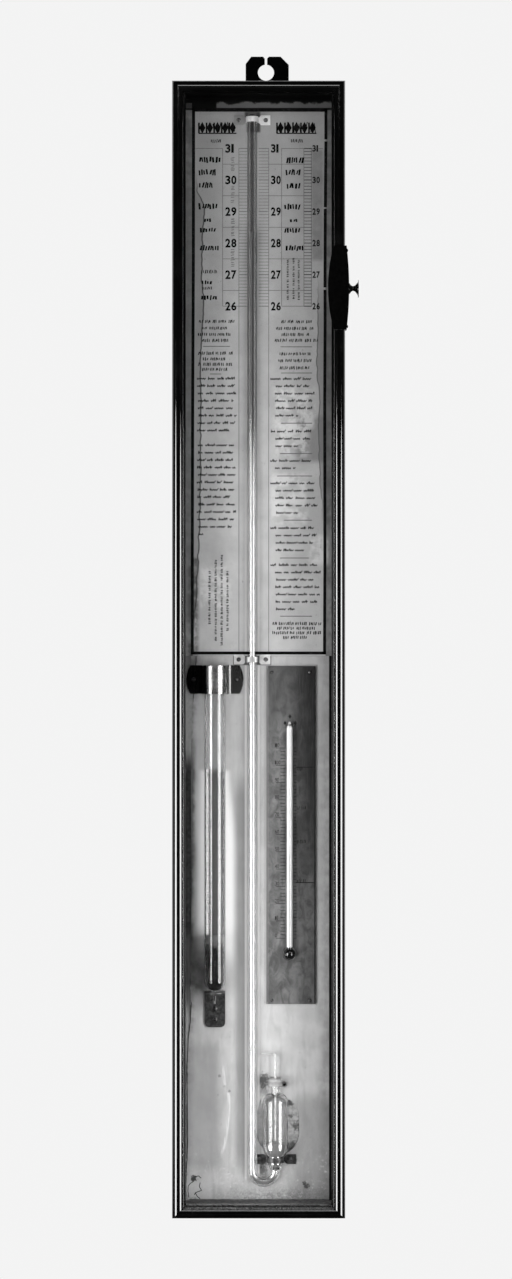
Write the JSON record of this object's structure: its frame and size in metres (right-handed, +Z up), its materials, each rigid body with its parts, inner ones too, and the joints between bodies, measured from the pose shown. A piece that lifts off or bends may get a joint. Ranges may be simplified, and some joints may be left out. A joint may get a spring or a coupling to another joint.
{
  "type": "wall barometer",
  "caption": "Tall glazed wall case with hinged door, siphon mercury barometer, printed scale chart, storm glass and spirit thermometer.",
  "frame": {"origin": "centre of the hanging hole, in the plane of the case's back", "axes": "+Y out of the back along the hanging hole, to the wall; +Z up along the case; the front faces -Y"},
  "size_m": [0.1498, 0.0511, 0.9367],
  "materials": {
    "ebonised wood": "black stain under a worn gloss polish",
    "bare wood": "bare, darkened with age",
    "black iron": "blackened, semi-matt",
    "brass": "bright on the edges, soft lacquer",
    "dull brass": "tarnished",
    "polished strap": "polished over the tube, tarnished to dark on the flanges",
    "clear glass": "clear, blown or drawn",
    "mercury": "bright liquid metal",
    "steel wire": "bright wire",
    "chart paper": "printed, aged, creased and stained",
    "lining paper": "plain grey, torn along one side",
    "leather": "pale kid leather, tied",
    "cork": "cork under sealing wax, dull",
    "storm liquid": "clear spirit solution",
    "camphor crystals": "packed feathery crystals, dark against the light",
    "engraved plate": "silvering turned dark and mottled",
    "enamelled tube": "white enamel backed glass",
    "thermometer fluid": "dark spirit"
  },
  "bodies": {
    "case": {"backboard": "bare wood", "case_side_left": "ebonised wood", "case_side_right": "ebonised wood", "case_top": "ebonised wood", "case_bottom": "ebonised wood", "backboard_nails": "black iron", "hanger_plate": "black iron", "hanger_screws": "black iron", "hinge_case_leaves": "dull brass", "hinge_pins": "dull brass", "hinge_case_screws": "dull brass", "register_paper": "chart paper", "lining_paper": "lining paper", "barometer_tube": "clear glass", "mercury": "mercury", "tube_clip_top": "brass", "tube_clip_middle": "brass", "tube_clip_screws": "dull brass", "cistern_clip": "dull brass", "cistern_clip_screws": "dull brass", "cistern_cap": "leather", "cistern_hook": "black iron", "storm_glass": "clear glass", "storm_liquid": "storm liquid", "storm_crystals": "camphor crystals", "storm_stopper": "cork", "storm_strap": "polished strap", "storm_strap_screws": "dull brass", "storm_bracket": "black iron", "storm_bracket_pins": "black iron", "thermometer_plate": "engraved plate", "thermometer_plate_pins": "dull brass", "thermometer_tube": "enamelled tube", "thermometer_fluid": "thermometer fluid", "thermometer_staple": "dull brass"},
    "door": {"door_stile_left": "ebonised wood", "door_stile_right": "ebonised wood", "door_rail_top": "ebonised wood", "door_rail_bottom": "ebonised wood", "door_pane": "clear glass", "glazing_bead_sides": "ebonised wood", "glazing_bead_ends": "ebonised wood", "hinge_door_leaves": "dull brass", "hinge_door_screws": "dull brass", "pull_plate": "black iron", "pull_plate_pins": "black iron", "knob": "ebonised wood", "knob_spindle": "black iron"},
    "rod": {"cistern_rod": "steel wire"}
  },
  "joints": [
    {"name": "door_hinge", "type": "hinge", "parent": "case", "child": "door", "pos_m": [-0.0732, -0.03625, -0.4686], "axis": [0, 0, -1], "range_deg": [0, 95]},
    {"name": "rod_lift", "type": "slide", "parent": "case", "child": "rod", "axis": [0, 0, 1], "range_m": [0, 0.052]}
  ]
}
